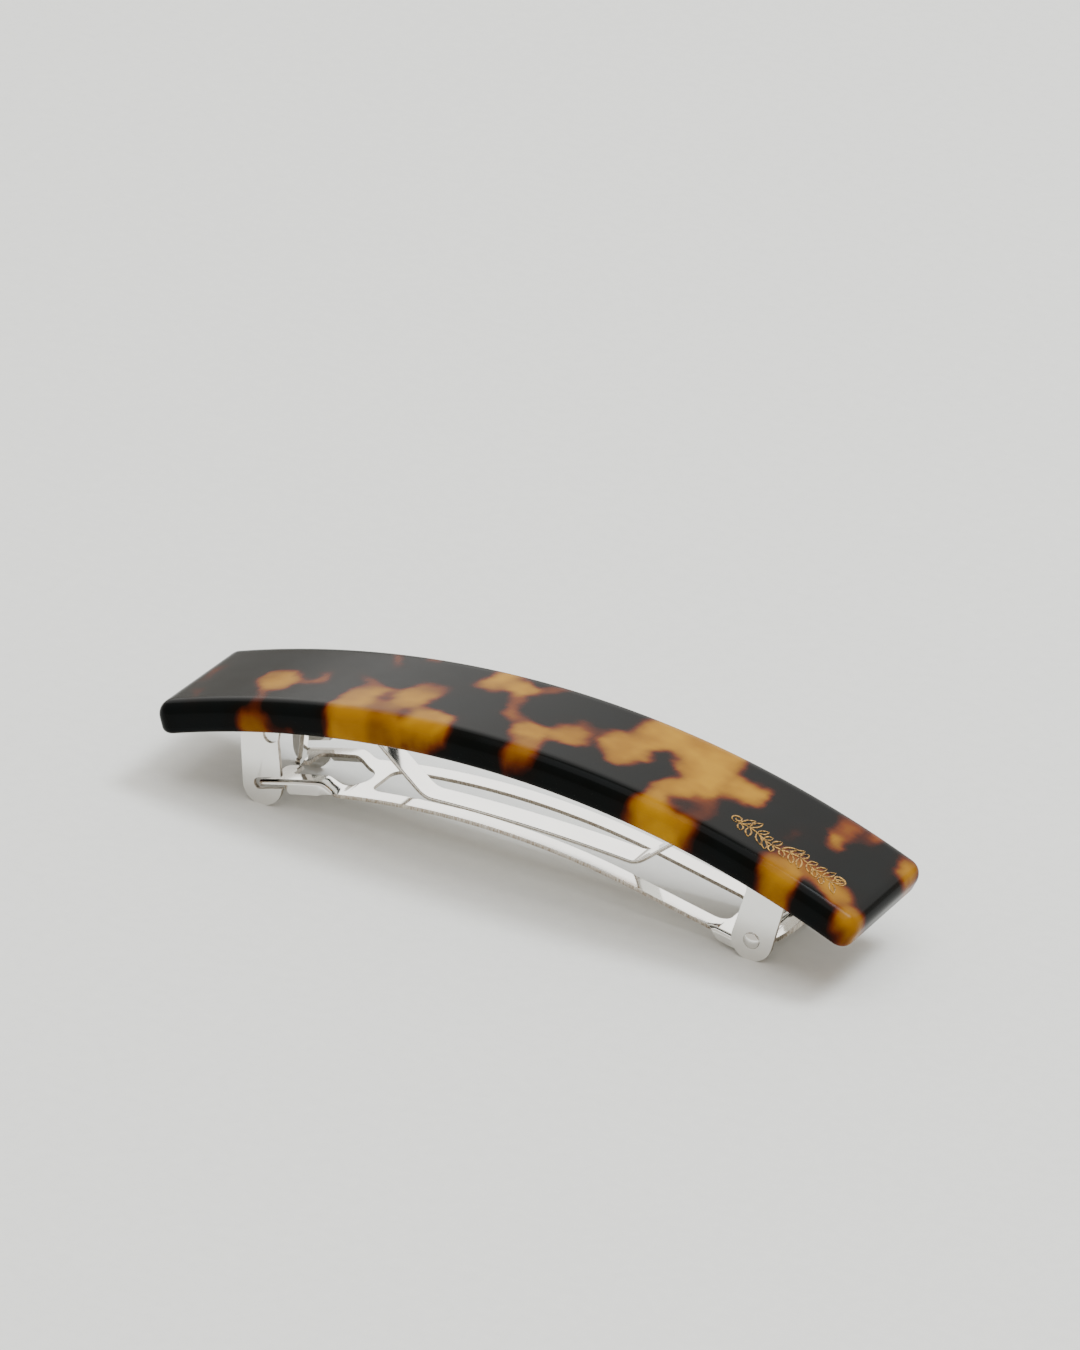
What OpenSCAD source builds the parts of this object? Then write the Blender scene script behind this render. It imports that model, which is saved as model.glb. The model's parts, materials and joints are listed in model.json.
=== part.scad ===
// Hair barrette: a curved acetate bar carried by a stamped steel french clip.
// Millimetres. +X runs from the catch end to the hinge end, +Y across the clip, +Z up.
// The origin lies on the resting surface, under the middle of the bar.

/* [Acetate bar] */
// Length of the bar along its upper curve
bar_len = 80; // [72:1:110]
// Width of the bar
bar_w = 17.2; // [13:0.2:26]
// Thickness of the bar
bar_t = 3.4; // [2.8:0.1:4.4]
// Radius of the bar's upper curve
bar_r = 107.6; // [88:0.2:160]
// Rounding of the bar's upper long edges
top_round = 1.7; // [0.4:0.1:1.8]
// Rounding of the bar's lower long edges
low_round = 0.8; // [0.2:0.1:0.9]
// Rounding of the bar's corners seen from above
corner_round = 1.3; // [0.4:0.1:3]
// Height of the top of the bar above the resting surface
stand_h = 16; // [14:0.2:19.2]

/* [Base plate] */
// Distance from the catch's middle to the hinge pin
clip_span = 54.8; // [45:0.1:60]
// How far the plate runs past the catch and the pin
plate_over = 4.1; // [3:0.1:5]
// Width over the outside of the ears
base_w = 11.2; // [10:0.1:13.4]
// Width of the plate between its ears
plate_w = 8.8; // [7:0.1:9.6]
// Thickness of the plate and its ears
plate_t = 0.5; // [0.4:0.05:0.6]
// Radius of each ear's rounded foot
ear_r = 2.2; // [2.1:0.05:2.6]
// Half the width of an ear where it meets the plate
ear_top = 2; // [1.7:0.1:2.4]
// Lean of the ears towards the middle, in degrees
ear_lean = 10; // [4:1:14]
// Half the height of the catch slots
slot_r = 0.65; // [0.55:0.05:0.75]
// Width of the stop tab between the catch ears
stop_w = 1; // [0.8:0.1:1.4]

/* [Clasp arm] */
// Thickness of the clasp arm
arm_t = 0.4; // [0.3:0.05:0.5]
// Radius of the clasp arm's curve
arm_r = 86.5; // [72:0.5:120]
// Height of the crown of the clasp arm's upper face
arm_crown = 5.06; // [4.6:0.02:6]
// Width of each of the two rails
rail_w = 2; // [1.6:0.1:2.4]
// How far the catch fingers step up from the rails
finger_step = 1.13; // [0.8:0.01:1.4]
// Height of the pinch wings
wing_h = 1.5; // [1.2:0.1:1.7]
// Length of the tail behind the pin
tail_len = 4.9; // [3.5:0.1:5.4]

/* [Tension bar] */
// Thickness of the tension bar
strip_t = 0.4; // [0.3:0.05:0.5]
// Width of the tension bar at its catch end
strip_w_catch = 2.7; // [2.2:0.1:3.2]
// Width of the tension bar at its hinge end
strip_w_hinge = 3.5; // [2.8:0.1:4]
// Height of the crown of the tension bar
strip_crown = 4.66; // [4.3:0.02:5.4]
// Length of the gentler ramp, at the catch end
ramp_catch = 8; // [6:0.2:9.6]
// Length of the steeper ramp, at the hinge end
ramp_hinge = 6.4; // [5:0.2:8]
// Length of each foot against the base plate
strip_foot = 2.4; // [1.8:0.1:3]

/* [Pins and clearances] */
// Radius of the hinge pin
pin_r = 0.6; // [0.5:0.02:0.72]
// Radius of the hinge pin's domed heads
pin_head_r = 0.9; // [0.8:0.05:1.1]
// Radius of the anchor studs
stud_r = 0.9; // [0.75:0.05:1.1]
// Depth of the anchor studs in the acetate
stud_depth = 1.8; // [1.2:0.1:2.2]
// Gap between the arm and each ear
side_gap = 0.1; // [0.06:0.02:0.12]

/* [Hidden] */

seat_gap = 0.03;        // between parts that are pressed together
pin_gap = 0.05;         // radial running gap of the arm on its pin
cut = 30;               // reach of cutting solids past what they cut

// Bar and base plate share one centre of curvature.
curve_z = stand_h - bar_r;
bar_in_r = bar_r - bar_t;
plate_out_r = bar_in_r - seat_gap;
plate_in_r = plate_out_r - plate_t;
bar_angle = bar_len / bar_r * 180 / PI;

// The clip lies a little nearer the catch end.
clip_shift = -0.1;
pin_x = clip_span / 2 + clip_shift;
catch_x = -clip_span / 2 + clip_shift;
foot_flat = 0.1;        // how much of each round foot is cut flat
pin_z = ear_r - foot_flat;
ear_in = base_w / 2 - plate_t;

// The clasp arm fits between the ears, and its lines follow from the pin and catch.
arm_w = 2 * (ear_in - side_gap);
rail_in = arm_w / 2 - rail_w;
arm_x = clip_shift - 1.94;                  // where the arm's curve is highest
straight_run = 12.8;                        // the curve ends this far before the pin
bend_x = pin_x - straight_run;
web_x = pin_x - 0.3;                        // the curl starts just before the pin
web_drop = 0.35;                            // from the pin down to the arm's upper face
web_z = pin_z - pin_r - web_drop;
curl_r = 1.5;                               // inner radius of the curl under the pin
finger_len = 8.2;                           // from the catch's middle to the finger's root
finger_x = catch_x + finger_len;
finger_gap = 0.12;
keyhole_x = finger_x - 1.8;
crotch_w = 1.2;                             // bridge between keyhole and window
web_len = 3.9;                              // from the window's end to the pin
window_x0 = keyhole_x + rail_in + crotch_w;
window_x1 = pin_x - web_len;

// The studs stand just inside the ears, and the tension bar's feet just inside the studs.
stud_x = [catch_x + 3.2, pin_x - 3.7];
stud_head_r = 1.5;
strip_gap = 1;                              // from each stud's head to the strip's foot
strip_end0 = stud_x[0] + stud_head_r + strip_gap;
strip_end1 = stud_x[1] - stud_head_r - strip_gap;
strip_x0 = strip_end0 + strip_foot + ramp_catch;
strip_x1 = strip_end1 - strip_foot - ramp_hinge;
strip_r = 197;                              // radius of the low run
strip_x = (strip_x0 + strip_x1) / 2 + 1.6;  // where the low run is highest

function arc_z(x, r, x0, z0) = z0 - r + sqrt(r * r - (x - x0) * (x - x0));
function plate_z(x) = curve_z + sqrt(plate_in_r * plate_in_r - x * x);
function arm_bend_z() = arc_z(bend_x, arm_r, arm_x, arm_crown);
function arm_z(x) = x < bend_x ? arc_z(x, arm_r, arm_x, arm_crown)
    : arm_bend_z() + (web_z - arm_bend_z()) * (x - bend_x) / (web_x - bend_x);
function finger_z(x) = arc_z(x, arm_r, arm_x, arm_crown + finger_step);
function strip_z(x) = arc_z(x, strip_r, strip_x, strip_crown);
function span(a, b, n) = [for (i = [0 : n]) a + (b - a) * i / n];

// A path's unit normal on its left, from the points beside point i.
function path_normal(p, i) =
    let (d = p[min(i + 1, len(p) - 1)] - p[max(i - 1, 0)])
    [-d[1], d[0]] / norm(d);
// A closed outline: the path p and its copy a distance t to the right.
function ribbon(p, t) =
    concat(p, [for (i = [len(p) - 1 : -1 : 0]) p[i] - t * path_normal(p, i)]);
function arc_points(c, r, a0, a1, n) =
    [for (a = span(a0, a1, n)) c + r * [sin(a), -cos(a)]];

// A rectangle with round corners, given by two opposite corners.
module round_rect(x0, y0, x1, y1, r) {
    translate([x0 + r, y0])
        square([x1 - x0 - 2 * r, y1 - y0]);
    translate([x0, y0 + r])
        square([x1 - x0, y1 - y0 - 2 * r]);
    for (x = [x0 + r, x1 - r])
        for (y = [y0 + r, y1 - r])
            translate([x, y])
                circle(r, $fn = 32);
}

// Stands an X-Z outline up and gives it a width across the clip.
module across(width) {
    rotate([90, 0, 0])
        linear_extrude(width, center = true)
            children();
}

// An X-Z outline as a thin wall whose outer face lies at y = side * face.
module wall(side, face, t) {
    translate([0, side * (face - t / 2), 0])
        across(t)
            children();
}

// An X-Y outline raised through everything.
module above() {
    translate([0, 0, -cut / 2])
        linear_extrude(2 * cut)
            children();
}

// The bar's cross-section: x is the distance from the centre of curvature.
module bar_section() {
    half = bar_w / 2;
    translate([bar_in_r + low_round, -half])
        square([bar_t - low_round - top_round, bar_w]);
    translate([bar_in_r, -half + low_round])
        square([bar_t - top_round, bar_w - 2 * low_round]);
    translate([bar_in_r, -half + top_round])
        square([bar_t, bar_w - 2 * top_round]);
    for (s = [-1, 1]) {
        translate([bar_in_r + low_round, s * (half - low_round)])
            circle(low_round, $fn = 32);
        translate([bar_r - top_round, s * (half - top_round)])
            circle(top_round, $fn = 32);
    }
}

// What a round corner leaves to cut away, at one corner of the bar.
module corner_waste(sx, sy) {
    r = corner_round;
    rotate([0, sx * bar_angle / 2, 0])
        translate([-sx * r, sy * (bar_w / 2 - r), bar_in_r - 1])
            difference() {
                translate([sx > 0 ? 0 : -2 * r, sy > 0 ? 0 : -2 * r, 0])
                    cube([2 * r, 2 * r, bar_t + 2]);
                translate([0, 0, -1])
                    cylinder(r = r, h = bar_t + 4, $fn = 32);
            }
}

// Moves children to radius r, on the line square to the bar's underside at x.
module on_curve(x, r) {
    translate([0, 0, curve_z])
        rotate([0, asin(x / bar_in_r), 0])
            translate([0, 0, r])
                children();
}

module acetate_bar() {
    color([0.16, 0.08, 0.03])
        difference() {
            translate([0, 0, curve_z])
                difference() {
                    rotate([90, 0, 0])
                        rotate([0, 0, 90 - bar_angle / 2])
                            rotate_extrude(angle = bar_angle, $fn = 200)
                                bar_section();
                    for (sx = [-1, 1])
                        for (sy = [-1, 1])
                            corner_waste(sx, sy);
                }
            for (x = stud_x)
                on_curve(x, bar_in_r)
                    translate([0, 0, -1])
                        cylinder(r = stud_r + seat_gap, h = stud_depth + 1 + seat_gap, $fn = 32);
        }
}

// One ear, drawn in X-Z: a round foot about (x, pin_z), and a stem up to the plate.
module ear_outline(x, lean) {
    stem = stand_h - bar_t - pin_z;
    intersection() {
        translate([x, pin_z])
            rotate(lean) {
                circle(ear_r, $fn = 48);
                polygon([[-ear_r, 0], [ear_r, 0], [ear_top, stem], [-ear_top, stem]]);
            }
        translate([0, curve_z])
            circle(plate_out_r, $fn = 200);
        translate([-2 * cut, 0])
            square([4 * cut, cut]);
    }
}

// The catch slot, open towards the hinge, along the fingers' own slope.
module slot_outline() {
    x = catch_x - 0.35;
    slope = atan2(finger_z(catch_x + 2) - finger_z(x), catch_x + 2 - x);
    translate([x, finger_z(x) - arm_t / 2])
        rotate(slope) {
            circle(slot_r, $fn = 32);
            translate([0, -slot_r])
                square([3 * ear_r, 2 * slot_r]);
        }
}

// Relief at the inner top corner of a catch ear, where the sheet was bent.
module relief_outline() {
    x = catch_x + 0.6;
    translate([x, plate_z(x) - 1.2])
        circle(1, $fn = 32);
}

module plate_plan() {
    end0 = catch_x - plate_over;
    end1 = pin_x + plate_over;
    round_rect(end0, -plate_w / 2, end1, plate_w / 2, 2);
    for (x = [catch_x - 1, pin_x + 1])
        round_rect(x - ear_top - 0.6, -base_w / 2, x + ear_top + 0.6, base_w / 2, 0.5);
}

// The stop tab hangs from the plate, and its foot stands just above the fingers.
stop_x = catch_x + 1.5;
stop_foot_w = 2.4;
stop_foot_h = 0.6;
stop_z = finger_z(stop_x) + 0.2;
module stop_tab() {
    translate([stop_x - plate_t, -stop_w / 2, stop_z])
        cube([plate_t, stop_w, plate_z(stop_x) - stop_z + plate_t / 2]);
    translate([stop_x - plate_t, -stop_foot_w / 2, stop_z])
        cube([plate_t, stop_foot_w, stop_foot_h]);
}

module base_plate() {
    color([0.80, 0.79, 0.77])
        difference() {
            union() {
                intersection() {
                    translate([0, 0, curve_z])
                        rotate([90, 0, 0])
                            difference() {
                                cylinder(r = plate_out_r, h = 2 * cut, center = true, $fn = 200);
                                cylinder(r = plate_in_r, h = 3 * cut, center = true, $fn = 200);
                            }
                    above()
                        plate_plan();
                }
                for (s = [-1, 1]) {
                    wall(s, base_w / 2, plate_t)
                        difference() {
                            ear_outline(catch_x, ear_lean);
                            slot_outline();
                            relief_outline();
                        }
                    wall(s, base_w / 2, plate_t)
                        ear_outline(pin_x, -ear_lean);
                }
                stop_tab();
            }
            // the window that the stop tab was cut from
            translate([catch_x - plate_over + 1.2, -stop_w / 2 - 0.1, 0])
                cube([stop_x - plate_t - catch_x + plate_over - 1.2, stop_w + 0.2, cut]);
            for (x = stud_x)
                on_curve(x, plate_in_r)
                    cylinder(r = stud_r + seat_gap, h = 4 * plate_t, center = true, $fn = 32);
            translate([pin_x, 0, pin_z])
                rotate([90, 0, 0])
                    cylinder(r = pin_r + seat_gap / 2, h = 2 * base_w, center = true, $fn = 32);
        }
}

// Two studs, headed under the plate, that hold it up against the bar.
module anchor_studs() {
    head_h = 0.45;
    rim_h = 0.15;
    color([0.72, 0.70, 0.66])
        for (x = stud_x)
            on_curve(x, plate_in_r - seat_gap) {
                cylinder(r = stud_r, h = plate_t + 2 * seat_gap + stud_depth, $fn = 32);
                rotate_extrude($fn = 48)
                    polygon([[0, 0], [stud_head_r, 0], [stud_head_r, -rim_h],
                             [stud_head_r - 0.3, -head_h], [0, -head_h]]);
            }
}

// The tension bar's upper face, from foot to foot.
function foot_points(x0, x1) =
    [for (x = span(x0, x1, 4)) [x, plate_z(x) - seat_gap]];
function strip_path() = concat(
    foot_points(strip_end0, strip_end0 + strip_foot),
    [for (x = span(strip_x0, strip_x1, 12)) [x, strip_z(x)]],
    foot_points(strip_end1 - strip_foot, strip_end1));

module tension_bar() {
    color([0.84, 0.83, 0.81])
        intersection() {
            across(2 * base_w)
                polygon(ribbon(strip_path(), strip_t));
            above()
                polygon([[strip_end0, -strip_w_catch / 2], [strip_end1, -strip_w_hinge / 2],
                         [strip_end1, strip_w_hinge / 2], [strip_end0, strip_w_catch / 2]]);
        }
}

module hinge_pin() {
    dome = 0.4;
    half = base_w / 2 + seat_gap;
    ball = (pin_head_r * pin_head_r + dome * dome) / (2 * dome);
    color([0.86, 0.85, 0.83])
        translate([pin_x, 0, pin_z])
            rotate([90, 0, 0]) {
                cylinder(r = pin_r, h = 2 * half, center = true, $fn = 32);
                for (s = [-1, 1])
                    intersection() {
                        translate([0, 0, s * (half + dome - ball)])
                            sphere(ball, $fn = 64);
                        translate([0, 0, s * (half + dome / 2)])
                            cylinder(r = pin_head_r, h = dome, center = true, $fn = 48);
                    }
            }
}

// The arm's upper face from the fingers' roots to the tip of its tail.
curl_a0 = atan2(web_z - arm_bend_z(), web_x - bend_x);
curl_a1 = 36;
tail_r = 14;
curl_c = [web_x, web_z] + curl_r * [-sin(curl_a0), cos(curl_a0)];
tail_c = curl_c + (curl_r - tail_r) * [sin(curl_a1), -cos(curl_a1)];
tail_a1 = curl_a1 + tail_len / tail_r * 180 / PI;
function arm_path() = concat(
    [for (x = span(finger_x + finger_gap / 2, bend_x, 14)) [x, arm_z(x)]],
    arc_points(curl_c, curl_r, curl_a0, curl_a1, 5),
    arc_points(tail_c, tail_r, curl_a1 + 4, tail_a1, 4));

module arm_plan() {
    tail_w = arm_w - 2 * rail_w + 0.4;
    end_x = pin_x + 1.4;
    difference() {
        union() {
            round_rect(finger_x - 5, -arm_w / 2, end_x, arm_w / 2, 0.8);
            round_rect(end_x - 4, -tail_w / 2, end_x + 6, tail_w / 2, 0.5);
        }
        translate([finger_x - 6 + finger_gap / 2, -arm_w])
            square([6, 2 * arm_w]);
        round_rect(window_x0, -rail_in, window_x1, rail_in, 1.4);
        translate([keyhole_x, 0])
            circle(rail_in, $fn = 48);
    }
}

// A lug folded up beside each ear, with the running hole for the pin.
module lug_outline() {
    lug_r = 1.5;
    intersection() {
        union() {
            translate([pin_x, pin_z])
                circle(lug_r, $fn = 32);
            translate([pin_x - lug_r, pin_z - 3])
                square([2 * lug_r, 3]);
        }
        polygon(concat([for (p = arc_points(curl_c, curl_r, curl_a0, curl_a1, 5)) p - [0, arm_t / 2]],
                       [[pin_x + 5, cut], [pin_x - 5, cut], [pin_x - 5, arm_z(pin_x - 5)]]));
    }
}

module clasp_arm() {
    skirt_h = 1.1;
    face = arm_w / 2;
    color([0.82, 0.81, 0.79])
        difference() {
            union() {
                intersection() {
                    across(2 * arm_w)
                        polygon(ribbon(arm_path(), arm_t));
                    above()
                        arm_plan();
                }
                for (s = [-1, 1]) {
                    wall(s, face, arm_t)
                        lug_outline();
                    wall(s, face, arm_t)
                        polygon(ribbon([for (x = span(pin_x - 5, pin_x - 1.8, 2)) [x, arm_z(x) - arm_t / 4]],
                                       skirt_h));
                }
            }
            translate([pin_x, 0, pin_z])
                rotate([90, 0, 0])
                    cylinder(r = pin_r + pin_gap, h = 2 * arm_w, center = true, $fn = 32);
        }
}

// A finger's upper face: up a short step from the rail, then level with the ears' slots.
step_run = 2;
finger_end = catch_x - 0.7;                 // tip of the lug that springs into the slot
tab_end = catch_x + 0.2;
tab_w = 1.8;
wing_x0 = catch_x + ear_r + 0.15;
function finger_path() = concat(
    [for (x = span(finger_end, finger_x - step_run, 6)) [x, finger_z(x)]],
    [[finger_x - 0.35, arm_z(finger_x) + 0.12], [finger_x - finger_gap / 2, arm_z(finger_x)]]);

module finger_plan() {
    face = arm_w / 2;
    root_x = finger_x - finger_gap / 2;
    difference() {
        translate([finger_end, rail_in])
            square([root_x - finger_end, face - rail_in]);
        // behind the ear only the outer edge runs on, as the catch lug
        translate([finger_end - 1, rail_in - 1])
            square([tab_end - finger_end + 1, face - rail_in + 0.2]);
    }
    translate([tab_end, 0.6])
        square([tab_w, face - 0.6]);
    difference() {
        translate([keyhole_x, rail_in / 2])
            square([root_x - keyhole_x, rail_in]);
        translate([keyhole_x, 0])
            circle(rail_in, $fn = 48);
    }
}

// The rear finger; the front one is its mirror image.
module catch_finger() {
    face = arm_w / 2;
    color([0.82, 0.81, 0.79]) {
        intersection() {
            across(3 * arm_w)
                polygon(ribbon(finger_path(), arm_t));
            above()
                finger_plan();
        }
        wall(1, face, arm_t)
            intersection() {
                polygon(ribbon([for (x = span(wing_x0, finger_x - step_run, 4)) [x, finger_z(x) - arm_t / 4]],
                               wing_h - arm_t / 4));
                round_rect(wing_x0, -cut, finger_x - step_run + 0.1, cut, 0.3);
            }
    }
}

module front_catch_finger() {
    mirror([0, 1, 0])
        catch_finger();
}

module rear_catch_finger() {
    catch_finger();
}

acetate_bar();
base_plate();
anchor_studs();
tension_bar();
hinge_pin();
clasp_arm();
front_catch_finger();
rear_catch_finger();
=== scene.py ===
# %% [markdown]
# A hair barrette: a curved tortoiseshell bar on a stamped steel clip. The working model comes first, as a
# fixed frame: its bodies say what moves, and its boxes say where everything is. Nothing in it is moved here.
# Each piece below is made in millimetres, the way a workshop would make it, and then laid over that frame.

# %% The frame
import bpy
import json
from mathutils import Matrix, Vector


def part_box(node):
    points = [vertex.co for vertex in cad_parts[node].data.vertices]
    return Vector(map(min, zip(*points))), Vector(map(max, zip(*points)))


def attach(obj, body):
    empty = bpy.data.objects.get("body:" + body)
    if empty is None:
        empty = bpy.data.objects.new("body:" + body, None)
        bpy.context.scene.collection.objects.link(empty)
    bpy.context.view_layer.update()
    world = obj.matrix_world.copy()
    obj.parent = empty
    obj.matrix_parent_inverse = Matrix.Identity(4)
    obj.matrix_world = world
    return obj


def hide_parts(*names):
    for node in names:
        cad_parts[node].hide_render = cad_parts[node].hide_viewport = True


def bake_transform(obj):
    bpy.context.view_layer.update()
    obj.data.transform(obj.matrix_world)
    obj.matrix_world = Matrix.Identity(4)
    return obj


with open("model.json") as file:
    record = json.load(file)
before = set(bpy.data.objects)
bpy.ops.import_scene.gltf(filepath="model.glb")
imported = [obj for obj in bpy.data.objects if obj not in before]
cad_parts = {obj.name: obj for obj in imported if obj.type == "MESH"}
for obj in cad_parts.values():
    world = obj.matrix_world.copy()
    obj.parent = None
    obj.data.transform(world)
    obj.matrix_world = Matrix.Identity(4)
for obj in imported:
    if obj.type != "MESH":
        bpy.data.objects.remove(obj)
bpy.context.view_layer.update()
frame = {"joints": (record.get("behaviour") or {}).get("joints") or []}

# %% [markdown]
# A small object keeps its proportions when it is seen from well back, through a long lens. A camera can be
# turned with angles, but a roll then mixes with the other two. Here its three axes are built as vectors
# instead, because each of them can be read and checked on its own.

# %% The camera
import bmesh
import bpy
import json
import math
from mathutils import Matrix, Vector, noise

MM = 0.001
view_turn = math.radians(23.86)
view_lift = math.radians(25.17)
view_roll = math.radians(6.51)
view_distance = 822.4
look_at = Vector((-0.97, 0, 20.36))

backward = Vector((math.sin(view_turn) * math.cos(view_lift),
                   -math.cos(view_turn) * math.cos(view_lift),
                   math.sin(view_lift)))
rightward = Vector((math.cos(view_turn), math.sin(view_turn), 0))
upward = backward.cross(rightward)
camera_x = math.cos(view_roll) * rightward + math.sin(view_roll) * upward
camera_y = math.cos(view_roll) * upward - math.sin(view_roll) * rightward

camera = bpy.data.objects.new("camera", bpy.data.cameras.new("camera"))
camera.data.lens = 221.3
camera.data.sensor_width = 36
camera.data.clip_start = 0.01
camera.matrix_world = (Matrix.Translation((look_at + view_distance * backward) * MM)
                       @ Matrix((camera_x, camera_y, backward)).transposed().to_4x4())
bpy.context.scene.collection.objects.link(camera)
bpy.context.scene.camera = camera
print("camera", round(view_distance), "mm from the bar")

# %% [markdown]
# A material is a small sum over the surface: a mask times a colour, plus a little noise. Node by node that
# is long to write, so one class wraps a node's output and lets + - * add the Math nodes. A second class is
# the finish itself: it makes any other node from its type, its settings and its inputs. Colours laid along
# a value come up in every finish here, so they get a helper of their own.

# %% Shader arithmetic
class Signal:
    """One output of a finish's nodes, which can be added to and multiplied."""

    def __init__(self, finish, socket):
        self.finish = finish
        self.socket = socket

    def sum(self, operation, first, second):
        return self.finish.node("Math", {"operation": operation}, {0: first, 1: second})

    def __add__(self, other):
        return self.sum("ADD", self, other)

    def __sub__(self, other):
        return self.sum("SUBTRACT", self, other)

    def __rsub__(self, other):
        return self.sum("SUBTRACT", other, self)

    def __mul__(self, other):
        return self.sum("MULTIPLY", self, other)

    __radd__ = __add__
    __rmul__ = __mul__


class Finish:
    """A material whose one shader node is filled in at the end."""

    def __init__(self, name):
        self.material = bpy.data.materials.new(name)
        self.material.use_nodes = True
        self.tree = self.material.node_tree
        self.shader = self.tree.nodes["Principled BSDF"]

    def plug(self, value, socket):
        if isinstance(value, Signal):
            self.tree.links.new(value.socket, socket)
        else:
            socket.default_value = value

    def node(self, kind, settings=None, inputs=None, output=0):
        made = self.tree.nodes.new("ShaderNode" + kind)
        for name, value in (settings or {}).items():
            if name == "stops":
                set_stops(made.color_ramp, value)
            else:
                setattr(made, name, value)
        for name, value in (inputs or {}).items():
            self.plug(value, made.inputs[name])
        return Signal(self, made.outputs[output])

    def set(self, **inputs):
        for name, value in inputs.items():
            self.plug(value, self.shader.inputs[name.replace("_", " ")])
        return self.material


def set_stops(ramp, stops):
    """Stops are (position, (red, green, blue))."""
    while len(ramp.elements) < len(stops):
        ramp.elements.new(1)
    for element, (position, colour) in zip(ramp.elements, stops):
        element.position = position
        element.color = (*colour, 1)


def colours_along(value, *stops):
    """The colours that a value from 0 to 1 runs through."""
    return value.finish.node("ValToRGB", {"stops": stops}, {"Fac": value})


print("shader arithmetic ready")

# %% [markdown]
# The two noises that every finish here needs: one that is the same in all directions, and one drawn out
# along the strip, as rolling and polishing leave it. Both read the piece's own coordinates, so that the
# marks stay on the metal when the clasp swings.

# %% Noise on a surface
def place_mm(finish, stretch=(1, 1, 1)):
    """The surface's own place, in millimetres over stretch."""
    here = finish.node("TexCoord", output=3)
    scale = tuple(1 / MM / s for s in stretch)
    return finish.node("VectorMath", {"operation": "MULTIPLY"}, {0: here, 1: scale})


def mottle(finish, size, stretch=(1, 1, 1), detail=2):
    """A noise round 0.5, whose patches are about size millimetres."""
    return finish.node("TexNoise", None, {"Vector": place_mm(finish, stretch), "Scale": 1 / size,
                                          "Detail": detail})


def relief(finish, height, depth):
    """Turns a height into a normal; depth is in millimetres."""
    return finish.node("Bump", None, {"Height": height, "Distance": depth * MM, "Strength": 1})


print("noises ready")

# %% [markdown]
# Acetate in tortoiseshell is poured from chips of two colours and pressed, so the dark and the amber reach
# right through the sheet, with a red-brown border where they bleed into each other. The chips' shapes are a
# number on the mesh, called cloud, made further down. The finish only turns that number into colour, which
# keeps the border as fine as the shader is.

# %% The acetate's finish
def acetate_finish():
    finish = Finish("tortoiseshell_acetate")
    cloud = finish.node("Attribute", {"attribute_name": "cloud"}, output=2)
    grain = mottle(finish, 1.3, detail=3)
    drift = mottle(finish, 5)
    amount = cloud + 0.10 * (grain - 0.5)
    colour = colours_along(
        amount,
        (0.00, (0.0016, 0.0024, 0.0024)),
        (0.14, (0.0040, 0.0022, 0.0014)),
        (0.28, (0.045, 0.006, 0.001)),
        (0.44, (0.130, 0.027, 0.002)),
        (0.66, (0.22, 0.092, 0.004)),
        (1.00, (0.37, 0.182, 0.006)))
    honey = colours_along(drift, (0.38, (0.72, 0.64, 0.50)), (0.62, (1.0, 1.0, 1.0)))
    warm = finish.node("Mix", {"data_type": "RGBA", "blend_type": "MULTIPLY"},
                       {"Factor": 1.0, 6: colour, 7: honey}, output=2)
    polish = 0.14 + 0.10 * mottle(finish, 2.5)
    return finish.set(Base_Color=warm, Roughness=polish, IOR=1.47, Specular_IOR_Level=0.05)


acetate = acetate_finish()
print("finish", acetate.name)

# %% [markdown]
# The clip is steel strip with bright nickel plate. Plating copies the strip's faint drawing lines, so the
# metal is a mirror with a little streak in its roughness. The cut edges, torn by the press, have a finish
# of their own: rougher, and coloured a darker warm brown, so that they show as a fine brown line.

# %% The metal's finishes
def nickel_finish(name, tone, roughness):
    finish = Finish(name)
    streak = mottle(finish, 0.35, stretch=(12, 1, 1), detail=3)
    haze = mottle(finish, 4)
    colour = colours_along(haze, (0.3, tuple(0.93 * c for c in tone)), (0.7, tone))
    dull = roughness + 0.07 * streak + 0.03 * haze
    return finish.set(Base_Color=colour, Metallic=1.0, Roughness=dull,
                      Normal=relief(finish, streak, 0.0006))


def cut_edge_finish():
    finish = Finish("torn_edge")
    tear = mottle(finish, 0.12, stretch=(1, 1, 5), detail=3)
    colour = colours_along(tear, (0.35, (0.30, 0.24, 0.18)), (0.65, (0.60, 0.56, 0.50)))
    return finish.set(Base_Color=colour, Metallic=1.0, Roughness=0.22 + 0.2 * tear,
                      Normal=relief(finish, tear, 0.01))


nickel = nickel_finish("bright_nickel", (0.86, 0.85, 0.82), 0.05)
spring_nickel = nickel_finish("bright_spring_nickel", (0.88, 0.87, 0.84), 0.04)
rivet_nickel = nickel_finish("turned_nickel", (0.80, 0.79, 0.76), 0.09)
torn_edge = cut_edge_finish()
print("finishes", [m.name for m in (nickel, spring_nickel, rivet_nickel, torn_edge)])
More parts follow.
